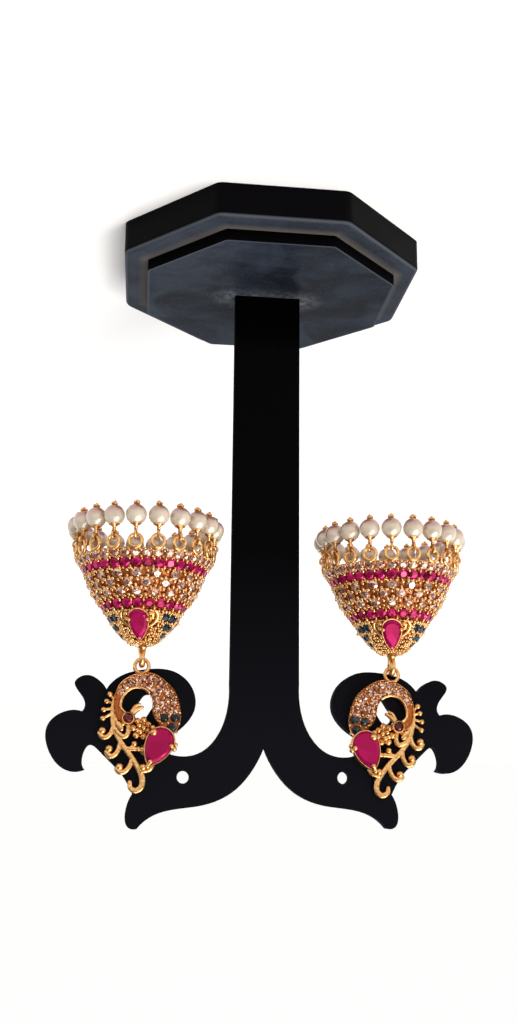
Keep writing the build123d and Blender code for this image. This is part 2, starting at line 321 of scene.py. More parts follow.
goldPlate = platedGold("goldPlatedCastBrass", gold)
goldWire = platedGold("goldPlatedDrawnWire", {**gold, "pits": 0.16, "bump": 0.006, "rough": (0.24, 0.4)})
# A satin, coppery floor between the bright beads, its darker tones a painted shade in the recesses
recessed = {**gold, "pits": 0.2, "bump": 0.02, "rough": (0.36, 0.55)}
goldFloor = platedGold("paintedShadeBrassRecess", {
    **recessed, "tones": [(0.3, "8e4624"), (0.55, "b06232"), (0.8, "cc8c52")]})
bellFloor = platedGold("paintedShadeBellFloor", {
    **recessed, "metallic": 0.75, "gapShadeTone": "c4682c",
    "tones": [(0.3, "a8592c"), (0.55, "cc7c42"), (0.8, "e2a668")]})


glass = {"ior": 1.76, "foil": 0.3, "coat": 0.1, "coatRough": 0.02, "specular": 0.25, "facet": 0.6,
         "rough": (0.05, 0.15), "bump": 0.01}


def cutGlass(name, values):
    # Foil-backed faceted glass: flat facets, hard glints, and tones that change from cell to cell as painted
    # light and dark reflections inside the stone
    material, add, shader, place = startMaterial(name, {
        "IOR": values["ior"], "Metallic": values["foil"], "Coat Weight": values["coat"],
        "Coat Roughness": values["coatRough"], "Specular IOR Level": values["specular"]})
    depth = add("TexVoronoi", {"Vector": place, "Scale": perMm(values["facet"])})
    fleck = add("SeparateColor", {"Color": depth.outputs["Color"]}).outputs
    # painted reflections: random cells of darker and lighter tone stand in for light reflected inside the
    # stone
    add("ValToRGB", {"Fac": fleck["Red"]}, shader["Base Color"], values["tones"])
    addRelief(add, shader, fleck["Green"], depth, values)
    return material


rubyGlass = cutGlass("rubyRedFoiledGlass", {
    **glass, "foil": 0.35, "coat": 0.03, "specular": 0.06, "facet": 5.0, "rough": (0.12, 0.25), "bump": 0.0,
    "tones": [(0.0, "7c0a34"), (0.45, "980c46"), (1.0, "a81254")]})
smallRubyGlass = cutGlass("rubyRedChipGlass", {
    **glass, "foil": 0.55, "facet": 1.1, "rough": (0.05, 0.18),
    "tones": [(0.0, "5a0420"), (0.3, "94093f"), (0.65, "b81058"), (1.0, "d0206e")]})
garnetGlass = cutGlass("garnetRedGlass", {
    **glass, "ior": 1.74, "foil": 0.4, "tones": [(0.0, "34080a"), (1.0, "6a1618")]})
sapphireGlass = cutGlass("midnightBlueGlass", {
    **glass, "coat": 0.08, "specular": 0.18, "rough": (0.05, 0.2),
    "tones": [(0.0, "080c12"), (0.6, "10181f"), (1.0, "2e3e4a")]})
# Cubic zirconia bends light more than glass does, so its facets flash harder
clear = {**glass, "ior": 2.15, "foil": 0.6, "coat": 0.0, "specular": 0.3, "rough": (0.03, 0.14), "bump": 0.02}
crystalGlass = cutGlass("champagneCubicZirconia", {
    **clear, "facet": 0.42, "tones": [(0.0, "643222"), (0.3, "a06a52"), (0.65, "c69e88"), (1.0, "f0d8c8")]})
paveGlass = cutGlass("champagnePaveStone", {
    **clear, "facet": 0.4, "tones": [(0.0, "5c2c20"), (0.4, "96604c"), (0.75, "c4937c"), (1.0, "f4dccc")]})


pearl = {
    "shader": {"Metallic": 0.15, "Specular IOR Level": 0.9, "Coat Weight": 1.0, "Coat Roughness": 0.12,
               "Sheen Weight": 0.1, "Sheen Roughness": 0.35, "Sheen Tint": hexColour("c87c68")},
    "cloud": 1.6, "grain": 0.12, "bump": 0.004, "rough": (0.24, 0.36),
    # the low tone and its range of the normal's Z paint shade and a pink reflection on the lower half
    "tones": [(0.3, "c5b6a1"), (0.7, "dccfba")], "paintedLowShadeTone": "8a3a1c", "low": (0.3, -0.9)}


def pearlLacquer():
    # Glass bead dipped in nacre lacquer: silky body, a painted rosy shade and pink reflection low down, clear
    # hard shine
    material, add, shader, place = startMaterial("nacreLacqueredBead", pearl["shader"])
    cloud = add("TexNoise", {"Vector": place, "Scale": perMm(pearl["cloud"]), "Detail": 2.0})
    body = add("ValToRGB", {"Fac": cloud}, stops=pearl["tones"])
    # painted shade and reflection: rosier and darker where the surface faces down
    facing = add("SeparateXYZ", {"Vector": add("TexCoord").outputs["Normal"]}).outputs["Z"]
    low = add("MapRange", {"Value": facing, **ends("From", pearl["low"])})
    add("Mix", {"Factor": low, "A": body, "B": pearl["paintedLowShadeTone"]}, shader["Base Color"],
            data_type="RGBA")
    grain = add("TexNoise", {"Vector": place, "Scale": perMm(pearl["grain"])})
    addRelief(add, shader, cloud, grain, pearl)
    return material


acrylic = {
    "shader": {"IOR": 1.49, "Specular IOR Level": 0.015},
    "lint": 0.5, "tones": [(0.0, "020203"), (0.74, "030304"), (0.8, "18181e")],
    # painted light: the board turns greyer between these heights
    "upperLight": (68.0, 108.0), "upperLightTone": "111116",  # heights where it starts and where it is full
    "wipe": 9.0, "rough": (0.06, 0.24), "cutRough": 0.8, "bump": 0.004}


def boardAcrylic():
    # Cast black acrylic, laser cut: deep gloss with a little lint and a few fine wipes, a painted light that
    # greys it up where the earrings are hung, and cut edges duller than the cast faces
    material, add, shader, place = startMaterial("laserCutBlackAcrylic", acrylic["shader"])
    lint = add("TexNoise", {"Vector": place, "Scale": perMm(acrylic["lint"]), "Detail": 1.0})
    clean = add("ValToRGB", {"Fac": lint}, stops=acrylic["tones"])
    height = add("SeparateXYZ", {"Vector": place}).outputs["Z"]
    # painted light: greyer higher up
    upperLight = add("MapRange", {
        "Value": height, **ends("From", [level * mm for level in acrylic["upperLight"]])})
    add("Mix", {"Factor": upperLight, "A": clean, "B": acrylic["upperLightTone"]},
            shader["Base Color"], data_type="RGBA")
    wipe = add("TexNoise", {"Vector": place, "Scale": perMm(acrylic["wipe"]), "Detail": 4.0})
    gloss = add("MapRange", {"Value": wipe, **ends("To", acrylic["rough"])})
    facing = add("SeparateXYZ", {"Vector": add("TexCoord").outputs["Normal"]}).outputs["Y"]
    face = add("Math", {0: facing}, operation="ABSOLUTE")
    add("Mix", {"Factor": face, "A": acrylic["cutRough"], "B": gloss}, shader["Roughness"])
    add("Bump", {"Height": wipe, "Distance": acrylic["bump"] * mm}, shader["Normal"])
    return material


plastic = {
    "shader": {"IOR": 1.58, "Specular IOR Level": 0.02}, "rough": (0.34, 0.55), "bump": 0.012,
    # 34, 62 and 40 wiped streaks to a metre along x, y and z
    "streakSize": (1000 / 34, 1000 / 62, 1000 / 40), "streakLean": 24.0,
    "streak": {"Scale": 1.0, "Detail": 9.0, "Roughness": 0.7, "Distortion": 0.8},
    # size, detail, roughness and distortion of the speckle, the swirls and the patches
    "noises": [(0.35, 3.0, 0.8, 0.0), (16.0, 3.0, 0.5, 1.2), (1.6, 8.0, 0.7, 0.0)],
    "patchLevels": (0.35, 0.7),
    "upper": 27.0, "footHalf": 7.25,  # from the middle to the upper octagon's flats and to the board's edge
    # the top's colour: streaks of wiped dust, and a painted sky reflection that makes it lighter than the
    # walls
    "dustAndPaintedLight": [(0.3, "0d1015"), (0.46, "181c24"), (0.6, "262c37"), (0.74, "3a424e")],
    # what is laid on top of it: its range, the amounts at both ends of that range, and its tone; rim is a
    # painted highlight along the upper octagon's edge, and step a lighter band on the ledge along the step
    "layers": {"swirl": ((0.5, 0.78), (0, 0.6), "3a424e"), "speck": ((0.5, 0.78), (0, 0.3), "5a5c5e"),
               "rim": ((-0.56, -0.28), (0, 1), "3e444e"), "ledge": ((0.3, 0.7), (0, 0.5), "464b53"),
               "step": ((0, 2.2), (0.62, 0), "70685f"), "foot": ((0, 6.0), (0.75, 0), "7c8288")},
    # how far up the surface faces where the walls end, where the painted edge highlight is greatest and where
    # the top's colour is whole
    "wallTone": "040305", "edgeHighlightTone": "4c5058", "edgeHighlightFacing": (0.3, 0.62, 0.92)}


def basePlastic():
    # Injection-moulded polystyrene: near-black satin walls, a bluish film of wiped dust with a painted sky
    # reflection on what faces up, a painted highlight along the upper edge, a lighter band along the step and
    # dust round the foot of the board
    material, add, shader, place = startMaterial("mouldedBlackPolystyrene", plastic["shader"])
    streakSpace = add("Mapping", {
        "Vector": place, "Scale": [perMm(size) for size in plastic["streakSize"]],
        "Rotation": (0, 0, math.radians(plastic["streakLean"]))})
    streak = add("TexNoise", {"Vector": streakSpace, **plastic["streak"]})
    speck, swirl, patches = [
        add("TexNoise", {"Vector": place, "Scale": perMm(size), "Detail": detail,
                                   "Roughness": roughness, "Distortion": distortion})
        for size, detail, roughness, distortion in plastic["noises"]]
    patchy = add("MapRange", {"Value": patches, **ends("From", plastic["patchLevels"])})

    # distance out to the flats of the upper octagon, and distance from the foot of the board
    axes = add("SeparateXYZ", {"Vector": place}).outputs
    across = add("Math", {0: axes["X"]}, operation="ABSOLUTE")
    along = add("Math", {0: axes["Y"]}, operation="ABSOLUTE")
    both = add("Math", {0: across, 1: along}, operation="ADD")
    corner = add("Math", {0: both, 1: math.sqrt(0.5)}, operation="MULTIPLY")
    flats = add("Math", {0: across, 1: along}, operation="MAXIMUM")
    out = add("Math", {0: flats, 1: corner}, operation="MAXIMUM")
    edge = plastic["upper"] * mm
    ledge = add("Math", {0: out, 1: edge}, operation="GREATER_THAN")
    upper = add("Math", {0: out, 1: edge}, operation="LESS_THAN")
    past = add("Math", {0: across, 1: plastic["footHalf"] * mm}, operation="SUBTRACT")
    beyond = add("Math", {0: past, 1: 0.0}, operation="MAXIMUM")
    reach = add("CombineXYZ", {"X": beyond, "Y": along})
    distance = add("VectorMath", {0: reach}, operation="LENGTH")

    # each layer of dust or painted highlight: what it follows, where its range starts, that range's unit and
    # its mask
    dustAndPaintedLight = add("ValToRGB", {"Fac": streak}, stops=plastic["dustAndPaintedLight"])
    for name, follows, start, step, mask in [
            ("swirl", swirl, 0, 1, 1.0), ("speck", speck, 0, 1, 1.0), ("rim", out, edge, mm, upper),
            ("ledge", speck, 0, 1, ledge), ("step", out, edge, mm, ledge), ("foot", distance, 0, mm, patchy)]:
        levels, amounts, tone = plastic["layers"][name]
        reached = [start + level * step for level in levels]
        amount = add("MapRange", {"Value": follows, **ends("From", reached), **ends("To", amounts)})
        share = add("Math", {0: amount, 1: mask}, operation="MULTIPLY")
        dustAndPaintedLight = add("Mix", {"Factor": share, "A": dustAndPaintedLight, "B": tone}, data_type="RGBA")

    # what faces up takes the dust and the painted sky reflection, and the rounded edges between get a painted
    # grey highlight
    worldNormal = add("NewGeometry").outputs["Normal"]
    facing = add("SeparateXYZ", {"Vector": worldNormal}).outputs["Z"]
    wall, rounded, level = plastic["edgeHighlightFacing"]
    rounding = add("MapRange", {"Value": facing, **ends("From", (wall, rounded))})
    walls = add("Mix", {"Factor": rounding, "A": plastic["wallTone"],
                                  "B": plastic["edgeHighlightTone"]}, data_type="RGBA")
    flat = add("MapRange", {"Value": facing, **ends("From", (rounded, level))})
    add("Mix", {"Factor": flat, "A": walls, "B": dustAndPaintedLight}, shader["Base Color"], data_type="RGBA")
    addRelief(add, shader, streak, speck, plastic)
    return material


def refinish(node, material):
    # The stand and the pearls keep their own meshes and take the finishes
    for materialSlot in frame["nodes"][node].material_slots:
        materialSlot.material = material


pearlFinish = pearlLacquer()
acrylicFinish = boardAcrylic()
plasticFinish = basePlastic()
print("finishes made")

refinish("stand_base", plasticFinish)
refinish("stand_board", acrylicFinish)
for nodeName in frame["nodes"]:
    if "_pearl_" in nodeName and nodeName[-1].isdigit():
        refinish(nodeName, pearlFinish)
print("stand and pearls finished")


def cutStone(folds, table=0.56, bezel=0.79, crown=0.32, kite=0.58, girdle=0.06, pavilion=0.5,
             outline=lambda angle: 1.0):
    # Brilliant cut with a girdle radius of 1: table, stars, kites, girdle facets, pointed pavilion

    def ring(count, turn, share, height):
        angles = [2 * math.pi * (step + turn) / count for step in range(count)]
        return [(share * outline(a) * math.cos(a), share * outline(a) * math.sin(a), height) for a in angles]

    points = (ring(folds, 0.5, table, crown) + ring(folds, 0, bezel, kite * crown)
              + ring(2 * folds, 0, 1, 0) + ring(2 * folds, 0, 1, -girdle) + [(0, 0, -girdle - pavilion)])
    middle, upper, lower, culet = folds, 2 * folds, 4 * folds, 6 * folds  # where each ring's points start
    faces = [tuple(range(folds))]
    for k in range(folds):
        after, edge, before = (k + 1) % folds, upper + 2 * k, upper + (2 * k - 1) % (2 * folds)
        faces += [((k - 1) % folds, middle + k, k), (k, middle + k, edge + 1, middle + after),
                  (middle + k, edge, edge + 1), (middle + k, before, edge)]
    for k in range(2 * folds):
        after = (k + 1) % (2 * folds)
        faces += [(upper + k, lower + k, lower + after, upper + after), (lower + k, culet, lower + after)]
    return np.array(points), faces


roundCut = cutStone(8)
pearCut = {"folds": 14, "girdle": 0.25, "pavilion": 0.35}
tipMargin = 2.6  # an even margin adds this many times itself to a pear's length, because of the tip


def pearRadius(width, length):
    # Distance to a pear outline from the middle of its round end, tip towards +y
    half = width / 2
    rise = length - half
    arc = (half ** 2 + rise ** 2) / (2 * half)

    def radius(angle):
        if math.sin(angle) <= 0:
            return half
        centre = half - arc
        c, s = abs(math.cos(angle)), math.sin(angle)
        return centre * c + math.sqrt(arc ** 2 - (centre * s) ** 2)
    return radius


def marginPear(size, margin):
    # A pear with an even margin: its outline, and how far below its middle the outline's centre lies
    width, length = size[0] + 2 * margin, size[1] + tipMargin * margin
    return pearRadius(width, length), (width - length) / 2


def insidePear(size, margin, x, y):
    radius, shift = marginPear(size, margin)
    return math.hypot(x, y - shift) < radius(math.atan2(y - shift, x))


def addPearCollar(bag, place, size, rows, count=48):
    # Thin wall round a pear stone, from rows of margin, height, closed at its foot and under the stone
    rings = []
    for margin, height in rows:
        radius, shift = marginPear(size, margin)
        rings.append(np.array([(radius(a) * math.cos(a), radius(a) * math.sin(a) + shift, height)
                               for a in evenAngles(count)]))
    addRings(bag, rings, place=place)


def addPearStone(bag, place, size, crown, lift, table=0.7):
    points, faces = cutStone(**pearCut, table=table, bezel=(1 + table) / 2, crown=crown,
                             outline=pearRadius(*size))
    addTo(bag, points + (0, (size[0] - size[1]) / 2, lift), faces, place)


def addRoundStone(bag, place, radius, lean=4.0):
    # Each small stone sits a touch crooked, which is what scatters the glints
    turn = Matrix.Rotation(chance.uniform(0, math.pi), 4, "Z")
    tip = Matrix.Rotation(math.radians(chance.uniform(-lean, lean)), 4, "X")
    tilt = Matrix.Rotation(math.radians(chance.uniform(-lean, lean)), 4, "Y")
    local = np.array(tip @ tilt @ turn)
    points, faces = roundCut
    addTo(bag, points * radius @ local[:3, :3].T, faces, place)


# The right stud: points are x, z on its front, and heights are forward from its back
stud = {
    "back": -1.6, "scrollHeight": 0.6,
    "ring": {"centre": (25.5, -2.35, 93.8), "radius": 1.45, "wire": 0.4},
    "joint": {"centre": (25.5, -2.35, 95.35), "radius": 0.62, "squash": (1.15, 0.85, 0.8)},
    "ruby": {"centre": (21.8, 110.15), "size": (5.3, 7.9), "lean": -25.0, "crown": 0.42, "lift": 2.2,
             "table": 0.82},
    # the cup is rows of width beyond the stone, height
    "eye": {"centre": (27.85, 104.4), "radius": 0.94, "height": 1.72, "lean": 2.0, "floor": 1.15,
            "cup": [(0.44, 0), (0.48, 1.2), (0.44, 1.75), (0.264, 1.98), (0.11, 1.95), (0, 1.75), (0, 1.2)]},
    "sapphires": {"centres": [(19.15, 106.1), (18.5, 104.2), (20.6, 104.25)], "radius": 0.9, "height": 1.42,
                  "lean": 9.0},
    "sapphireClaws": {
        "centres": [(19.8, 105.3), (17.6, 105.4), (19.5, 103.3), (21.7, 103.6), (20.1, 106.5), (17.5, 103.2),
                    (21.0, 105.4), (18.0, 107.1), (21.5, 105.0)], "radius": 0.28, "height": 1.56},
    # wires of x, z, width
    "stem": [(27.1, 117.0, 0.85), (27.0, 118.05, 1.1), (26.0, 118.7, 1.25), (24.85, 118.0, 1.3),
             (24.65, 116.4, 1.3), (25.15, 115.0, 1.2), (26.3, 113.0, 1.15), (27.8, 111.0, 1.2),
             (29.5, 108.7, 1.15), (30.6, 106.5, 1.1), (31.0, 104.2, 1.0), (30.95, 101.6, 0.95),
             (30.2, 99.3, 1.0)],
    "outerCurls": [
        [(26.8, 112.4), (27.2, 113.7), (28.0, 114.8), (29.1, 115.1), (29.8, 114.5)],
        [(29.3, 109.3), (29.7, 110.8), (30.5, 111.8), (31.4, 111.8), (31.95, 111.1)],
        [(30.8, 106.2), (31.25, 107.35), (32.05, 108.15), (32.95, 108.1), (33.45, 107.4)]],
    "outerWidths": [1.0, 1.05, 1.15, 1.2, 1.1],
    "innerCurls": [
        [(28.6, 110.3), (27.4, 110.45), (25.8, 110.5), (24.0, 110.6)],
        [(27.3, 110.4), (26.9, 110.1), (26.5, 109.5)],
        [(30.4, 106.5), (29.4, 107.7), (28.4, 108.0), (27.8, 107.2), (27.75, 105.6)],
        [(28.9, 105.5), (29.9, 105.8), (30.4, 104.3), (30.0, 102.5)]],
    "innerWidths": [1.0, 0.9, 1.2, 1.0],
    "grooves": {"stem": 0.3, "outer": 0.12, "inner": 0.1},
    # balls of x, z, radius at the ends of the curls
    "curlBalls": [(29.25, 114.0, 0.78), (31.45, 110.45, 0.78), (32.95, 106.85, 0.78)],
    "innerBalls": [(26.45, 109.45, 0.66), (25.6, 110.5, 0.6)],
    # short spurs down the outside of the stem, which fan out from its line towards a middle height
    "nubs": [(32.95, 104.45), (32.85, 102.7), (32.3, 101.0), (31.7, 99.6)],
    "nub": {"ball": 0.6, "rootX": 30.8, "middleZ": 102.0, "widths": (0.7, 0.6)},
    "loose": {"forward": 0.25, "wires": [  # over the stone's tip, and from the rosette to the eye
        [(22.7, 113.9, 0.9), (23.4, 114.6, 1.05), (24.9, 114.9, 1.0)],
        [(24.6, 105.4, 0.8), (26.7, 104.6, 0.8)]]},
    "beak": {"forward": 0.2, "wires": [
        [(27.3, 103.6, 1.35), (26.3, 102.7, 1.05), (25.1, 102.1, 0.6)],
        [(27.2, 103.1, 1.0), (26.5, 102.0, 0.85), (25.6, 101.5, 0.5)]]},
    "leaf": {"centre": (29.5, 105.95), "size": (0.58, 1.15, 0.25), "lean": 30.0, "height": 1.15},
    "collar": [(0.0, 0.0), (0.26, 0.0), (0.3, 0.7), (0.34, 1.5), (0.32, 2.1), (0.22, 2.3), (0.1, 2.3),
               (0.02, 2.18), (0.0, 1.3), (-0.9, 1.1)],
    # claws in the stone's own frame: wire width, wire rows of x, y, height, balls of x, y, height, radius
    "claws": [
        (0.7, [(0.25, 4.5, 1.4), (0.2, 4.2, 2.4), (0.0, 3.3, 2.9)],
         [(0.85, 4.75, 2.1, 0.66), (0.0, 3.2, 2.85, 0.5), (0.1, 4.3, 2.5, 0.5)]),
        (0.6, [(-3.1, -1.3, 1.2), (-3.0, -1.3, 2.4), (-2.4, -1.3, 2.85)],
         [(-3.15, -1.1, 2.3, 0.55), (-2.45, -1.35, 2.8, 0.5), (-3.05, -1.95, 2.05, 0.48)]),
        (0.75, [(2.5, -3.2, 1.2), (2.4, -2.9, 2.3), (1.9, -2.2, 2.8)],
         [(2.0, -2.3, 2.6, 0.74), (2.6, -3.1, 2.1, 0.5)])],
    # the left stud is this one's mirror image, turned a little on its post
    "left": {"turn": 6.7, "centre": (28.8, 105.9), "shift": (-0.1, 1.25)},
}


def studPlace(x, z, height, lean=0.0):
    # A spot on the stud's front, that height above its back, facing forward
    turn = math.radians(lean)
    return placeAt((x, stud["back"] - height, z), (math.cos(turn), 0, math.sin(turn)),
                   (-math.sin(turn), 0, math.cos(turn)))


def buildScrolls():
    bag = newBag()
    front = stud["back"] - stud["scrollHeight"]

    def lay(rows, forward=0.0, **options):
        addWire(bag, [(x, front - forward, z, width) for x, z, width in rows], **options)

    grooves = stud["grooves"]
    lay(stud["stem"], groove=grooves["stem"], sides=16)
    for curl in stud["outerCurls"]:
        lay([(*point, width) for point, width in zip(curl, stud["outerWidths"])], groove=grooves["outer"])
    for curl, width in zip(stud["innerCurls"], stud["innerWidths"]):
        lay([(*point, width) for point in curl], groove=grooves["inner"])
    nub = stud["nub"]
    for x, z in stud["nubs"]:
        lay([(nub["rootX"], (z + nub["middleZ"]) / 2, nub["widths"][0]), (x, z, nub["widths"][1])])
    balls = stud["curlBalls"] + stud["innerBalls"] + [(x, z, nub["ball"]) for x, z in stud["nubs"]]
    for x, z, radius in balls:
        addBall(bag, (x, front, z), radius, fine=True)
    for part in (stud["loose"], stud["beak"]):
        for rows in part["wires"]:
            lay(rows, part["forward"])
    leaf = stud["leaf"]
    addBall(bag, (0, 0, 0), 1.0, leaf["size"], studPlace(*leaf["centre"], leaf["height"], leaf["lean"]), True)
    return bag


crescent = {
    "outer": [(20.4, 107.9), (18.2, 106.9), (17.2, 103.6), (18.5, 98.9), (22.6, 95.4), (26.5, 95.3),
              (29.7, 97.3), (30.9, 100.6), (30.5, 103.9), (28.3, 105.7)],
    "inner": [(20.4, 107.9), (21.9, 105.4), (22.9, 103.5), (23.3, 100.1), (25.2, 98.5), (27.3, 98.6),
              (28.9, 100.2), (29.3, 102.1), (28.3, 103.2)],
    "steps": 7, "points": 73, "least": 0.02,  # curve steps, points along each edge, least width between
    # rims from rows of distance in from the edge, height; the paved floor starts after the last
    "rim": [(0, 0), (0, 1.05), (0.05, 1.38), (0.17, 1.5), (0.3, 1.38)], "rimWidth": 0.36,
    "fullRims": 1.5, "camber": 0.06,  # width that has room for whole rims, and the floor's rise to its middle
    # below, the last two values pick the floor that takes the rougher finish with its painted shade
    "floor": 1.08, "neck": 1.18, "neckBlend": 0.06, "dullShadeAbove": 0.05, "dullShadeFacing": 0.8,
    "neckRim": {"from": 0.5, "every": 3, "width": 0.62, "height": 1.38, "inset": 0.22},
}
pave = {"from": 0.19, "to": 0.75, "stone": 0.72, "pitch": 1.36, "rowStep": 1.1968, "snug": 1.96, "lean": 10.0,
        "height": 1.26, "bead": (0.2, 0.27), "beadHeight": 1.38, "beadAside": 0.42, "beadIn": 0.12}


def runAlong(path):
    # Distance along a path to each of its points
    return np.concatenate([[0], np.cumsum(np.linalg.norm(np.diff(path, axis=0), axis=1))])


def pointAt(path, run, distance):
    return np.stack([np.interp(distance, run, path[:, axis]) for axis in (0, 1)], axis=-1)


def crescentCurves():
    # Both edges, as points at the same shares of their lengths
    curves = []
    for edge in ("outer", "inner"):
        path = smoothRows(crescent[edge], crescent["steps"])
        run = runAlong(path)
        curves.append(pointAt(path, run, np.linspace(0, run[-1], crescent["points"])))
    return curves


def buildCrescent():
    bag = newBag()
    outer, inner = crescentCurves()
    rings = []
    for index, (start, end) in enumerate(zip(outer, inner)):
        width = max(crescent["least"], np.linalg.norm(end - start))
        across = (end - start) / width
        scale = min(1.0, width / crescent["fullRims"])
        # the paved floor lies below the rims and swells into the smooth neck
        share = index / (len(outer) - 1)
        neck = min(1.0, max(0.0, (share - pave["to"]) / crescent["neckBlend"]))
        floor = crescent["floor"] * (1 - neck) + crescent["neck"] * neck
        rim = [(offset * scale, height) for offset, height in
               crescent["rim"] + [(crescent["rimWidth"], floor)]]
        row = rim + [(width / 2, floor + crescent["camber"])]
        row += [(width - offset, height) for offset, height in reversed(rim)]
        rings.append(np.array([(start[0] + across[0] * offset, stud["back"] - height,
                                start[1] + across[1] * offset) for offset, height in row]))
    addRings(bag, rings)
    # a bright rounded rim along the inside of the neck
    rim = crescent["neckRim"]
    rows = []
    for index in range(int(rim["from"] * len(inner)), len(inner), rim["every"]):
        x, z = inner[index] + unit(outer[index] - inner[index]) * rim["inset"]
        rows.append((x, stud["back"] - rim["height"], z, rim["width"]))
    addWire(bag, rows, steps=3)
    return bag


def isDullShadedFloor(face):
    # What faces forward and lies hardly higher than the neck's floor: it takes the rougher finish with its
    # painted shade
    height = stud["back"] - face.center.y / mm
    return -face.normal.y > crescent["dullShadeFacing"] and height < crescent["neck"] + crescent["dullShadeAbove"]


def buildPave():
    # Rows of small stones across the crescent, staggered, with beads of gold in the gaps
    stones, beads = newBag(), newBag()
    outer, inner = crescentCurves()
    run = runAlong((outer + inner) / 2)
    first, last = pave["from"] * run[-1], pave["to"] * run[-1]
    margin = crescent["rimWidth"]
    count = int((last - first) / pave["rowStep"])
    for row in range(count + 1):
        distance = first + (last - first) * row / count
        start, end = pointAt(outer, run, distance), pointAt(inner, run, distance)
        width = np.linalg.norm(end - start)
        across = (end - start) / width
        along = np.array([-across[1], across[0]]) * pave["pitch"] * pave["beadAside"]
        room = width - 2 * margin
        number = max(1, round(room / pave["pitch"]))
        if row % 2 and number > 2:
            number -= 1
        gap = room / number
        for step in range(number):
            x, z = start + across * (margin + gap * (step + 0.5))
            addRoundStone(stones, studPlace(x, z, pave["height"]), min(pave["stone"], gap / pave["snug"]),
                          pave["lean"])
        for step in range(number + 1):
            share = min(max(step, pave["beadIn"]), number - pave["beadIn"])
            for side in (-1, 1):
                x, z = start + across * (margin + gap * share) + side * along
                addBall(beads, (x, stud["back"] - pave["beadHeight"], z), chance.uniform(*pave["bead"]))
    return stones, beads


rosette = {
    "core": [(nearAxis, 0), (1.2, 0), (1.2, 0.75), (0.9, 1.05), (nearAxis, 1.1)], "centre": (25.2, 106.4),
    # balls of x, z, radius; each petal has a smaller one on it, at a share of its radius
    "petals": [(24.65, 107.95, 0.76), (26.1, 107.75, 0.76), (23.85, 106.9, 0.7), (23.8, 105.6, 0.72),
               (24.7, 104.7, 0.7), (26.0, 104.95, 0.7), (26.8, 106.35, 0.76)],
    "hearts": [(25.35, 107.1, 0.58), (24.7, 106.3, 0.54), (25.6, 105.85, 0.54), (26.0, 106.75, 0.48)],
    "petalHeight": 0.95, "heartHeight": 1.4, "topRise": 0.75, "topSize": 0.5}


def onStud(x, z):
    # The stud's back at that point, for a shape turned about an axis that points forward
    return placeAt((x, stud["back"], z), alongX, alongZ)


def buildRosette():
    bag = newBag()
    addTurned(bag, rosette["core"], sides=24, place=onStud(*rosette["centre"]))
    petals = stud["back"] - rosette["petalHeight"]
    for x, z, radius in rosette["petals"]:
        addBall(bag, (x, petals, z), radius, fine=True)
        addBall(bag, (x, petals - rosette["topRise"] * radius, z), rosette["topSize"] * radius)
    for x, z, radius in rosette["hearts"]:
        addBall(bag, (x, stud["back"] - rosette["heartHeight"], z), radius, fine=True)
    return bag


def buildEyeCup():
    bag = newBag()
    eye = stud["eye"]
    cup = [(eye["radius"] + beyond, height) for beyond, height in eye["cup"]]
    rows = [(nearAxis, 0)] + cup + [(nearAxis, eye["floor"])]
    addTurned(bag, rows, sides=36, place=onStud(*eye["centre"]))
    return bag


def buildRubyCollar():
    bag = newBag()
    ruby = stud["ruby"]
    place = studPlace(*ruby["centre"], 0, ruby["lean"])
    addPearCollar(bag, place, ruby["size"], stud["collar"])
    for width, rows, balls in stud["claws"]:
        addWire(bag, [(*row, width) for row in rows], outward=alongZ, place=place)
        for *centre, radius in balls:
            addBall(bag, centre, radius, place=place, fine=True)
    return bag


def buildHangingRing():
    bag = newBag()
    ring, joint = stud["ring"], stud["joint"]
    addRing(bag, ring["centre"], alongY, ring["radius"], ring["wire"], sides=40, section=14)
    addBall(bag, joint["centre"], joint["radius"], joint["squash"], fine=True)
    return bag


post = {"x": 24.1, "z": 110.25, "front": -1.55, "length": 7.0, "radius": 0.45, "root": 0.38, "thread": 0.3,
        "threaded": (0.2, 6.75), "neck": 0.36, "tip": 0.3}
nut = {"back": 1.6, "sides": 96, "knurl": 0.035, "knurlFrom": 2.0,
       "rows": [(1.2, 0), (2.208, 0), (2.4, 0.154), (2.4, 2.046), (2.208, 2.2), (1.44, 2.2), (1.008, 1.98),
                (0.72, 1.98)]}


def behindStud(y):
    return placeAt((post["x"], y, post["z"]), alongX, (0, 0, -1))


def buildPost():
    # Threaded post behind the stud
    bag = newBag()
    rows = [(nearAxis, 0), (post["neck"], 0)]
    for depth in np.arange(*post["threaded"], post["thread"]):
        rows += [(post["radius"], depth), (post["root"], depth + post["thread"] / 2)]
    rows += [(post["tip"], post["length"]), (nearAxis, post["length"])]
    addTurned(bag, rows, sides=16, place=behindStud(post["front"]))
    return bag


def buildNut():
    # Knurled screw nut against the board
    bag = newBag()
    addTurned(bag, nut["rows"], nut["sides"], behindStud(nut["back"]), nut["knurl"], nut["knurlFrom"])
    return bag


def toLeft(bag):
    values = stud["left"]
    turn = math.radians(values["turn"])
    cx, cz = values["centre"]
    for index, points in enumerate(bag["points"]):
        over, up = points[:, 0] - cx, points[:, 2] - cz
        x = cx + over * math.cos(turn) - up * math.sin(turn) + values["shift"][0]
        z = cz + over * math.sin(turn) + up * math.cos(turn) + values["shift"][1]
        bag["points"][index] = np.stack([-x, points[:, 1], z], axis=1)
    bag["faces"] = [tuple(reversed(face)) for face in bag["faces"]]


